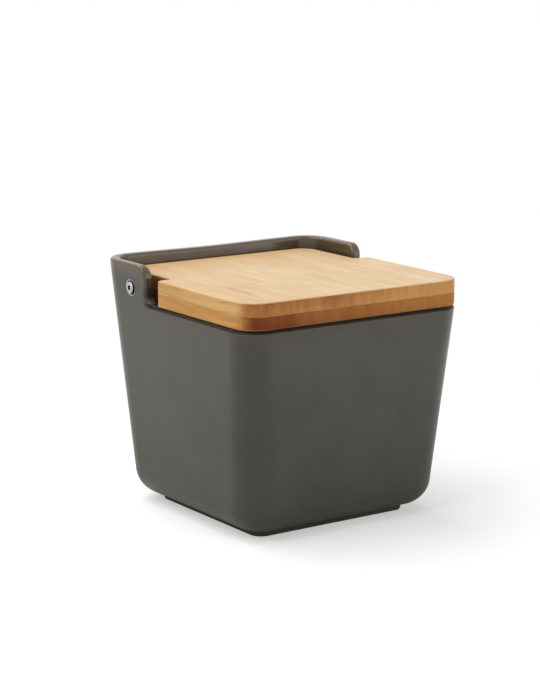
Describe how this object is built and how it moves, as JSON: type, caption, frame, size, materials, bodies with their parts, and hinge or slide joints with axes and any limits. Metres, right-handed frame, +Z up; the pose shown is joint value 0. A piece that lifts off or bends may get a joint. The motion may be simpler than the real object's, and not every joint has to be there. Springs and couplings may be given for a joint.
{
  "type": "salt box with hinged lid",
  "caption": "Square tapered stoneware salt box with a raised hood at the back and a laminated bamboo lid that swings up on side screws.",
  "frame": {"origin": "on the floor, under the middle of the pot's low rim", "axes": "+Z up, the front of the box faces -Y, the hinge axis lies along X"},
  "size_m": [0.1256, 0.1216, 0.1165],
  "materials": {
    "pot_glaze": "semi-matt dark grey glaze",
    "sleeve_nylon": "plain black",
    "screw_steel": "bright stainless",
    "bamboo_upper": "oiled light bamboo",
    "bamboo_lower": "oiled darker bamboo"
  },
  "bodies": {
    "box": {"pot": "pot_glaze", "left_hinge_sleeve": "sleeve_nylon", "right_hinge_sleeve": "sleeve_nylon"},
    "lid": {"lid_upper_ply": "bamboo_upper", "lid_lower_ply": "bamboo_lower", "left_hinge_screw": "screw_steel", "right_hinge_screw": "screw_steel"}
  },
  "joints": [
    {"name": "lid_hinge", "type": "hinge", "parent": "box", "child": "lid", "pos_m": [0, 0.0344, 0.10505], "axis": [-1, 0, 0], "range_deg": [0, 130]}
  ]
}
